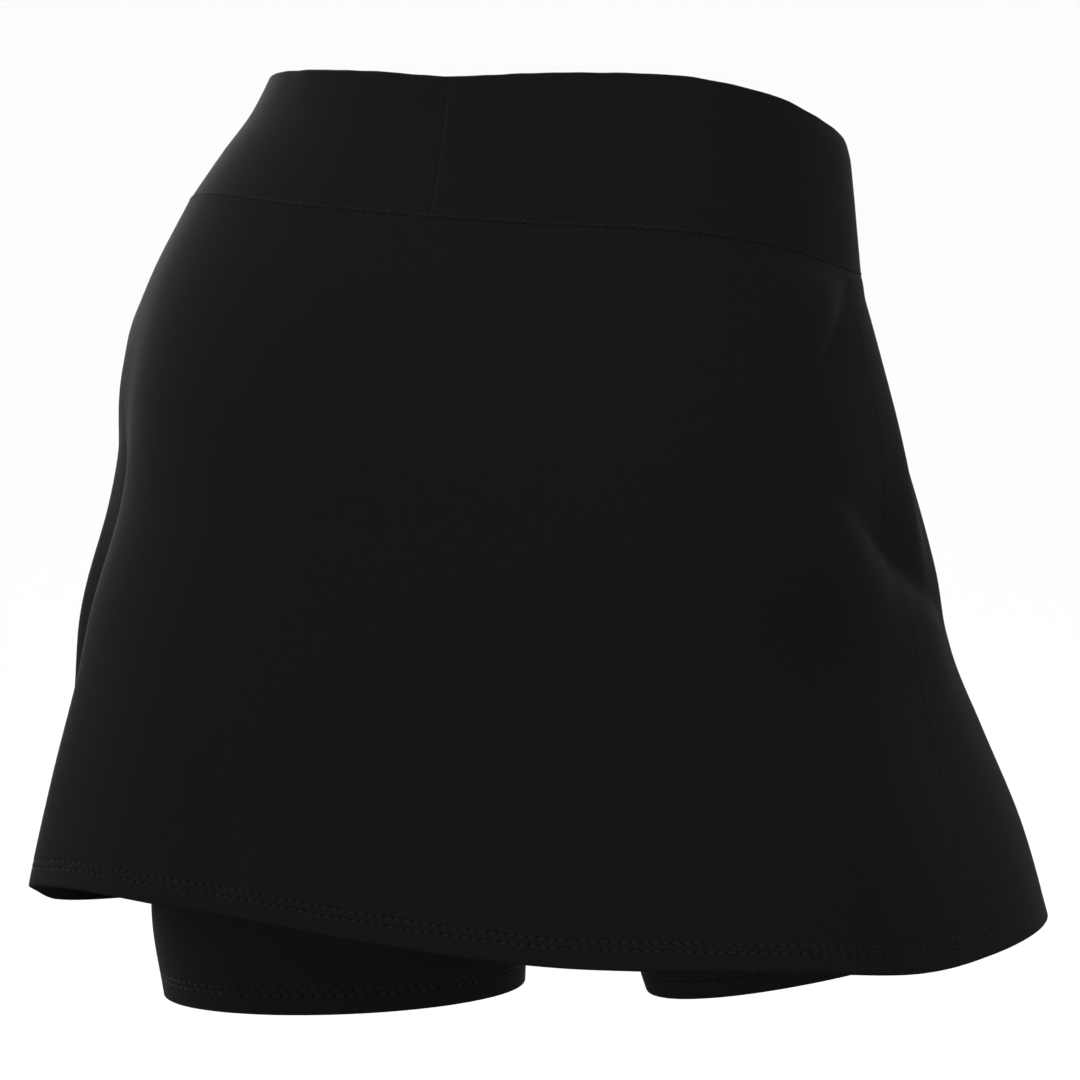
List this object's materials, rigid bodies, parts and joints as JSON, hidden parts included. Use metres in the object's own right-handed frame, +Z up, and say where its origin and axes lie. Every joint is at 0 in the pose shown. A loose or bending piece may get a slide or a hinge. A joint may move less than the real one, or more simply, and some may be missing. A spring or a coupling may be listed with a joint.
{
  "type": "tennis skort",
  "caption": "Hollow worn-form tennis skort: a flared knit skirt over close-fitting shorts under one wide pull-on waistband.",
  "frame": {"origin": "middle of the waist opening, level with the middle of the back of the waistband's edge", "axes": "+Z up out of the waist opening; the wearer faces -Y and their left is +X"},
  "size_m": [0.4569, 0.3192, 0.4376],
  "materials": {
    "waistband_knit": "smooth dense black stretch knit, double layer, faint sheen",
    "skirt_knit": "matte black fine knit with a soft bright rim at grazing angles",
    "shorts_knit": "matte black compression knit"
  },
  "bodies": {
    "root": {"waistband": "waistband_knit", "skirt_back": "skirt_knit", "skirt_front": "skirt_knit", "shorts_left": "shorts_knit", "shorts_right": "shorts_knit"}
  },
  "joints": []
}
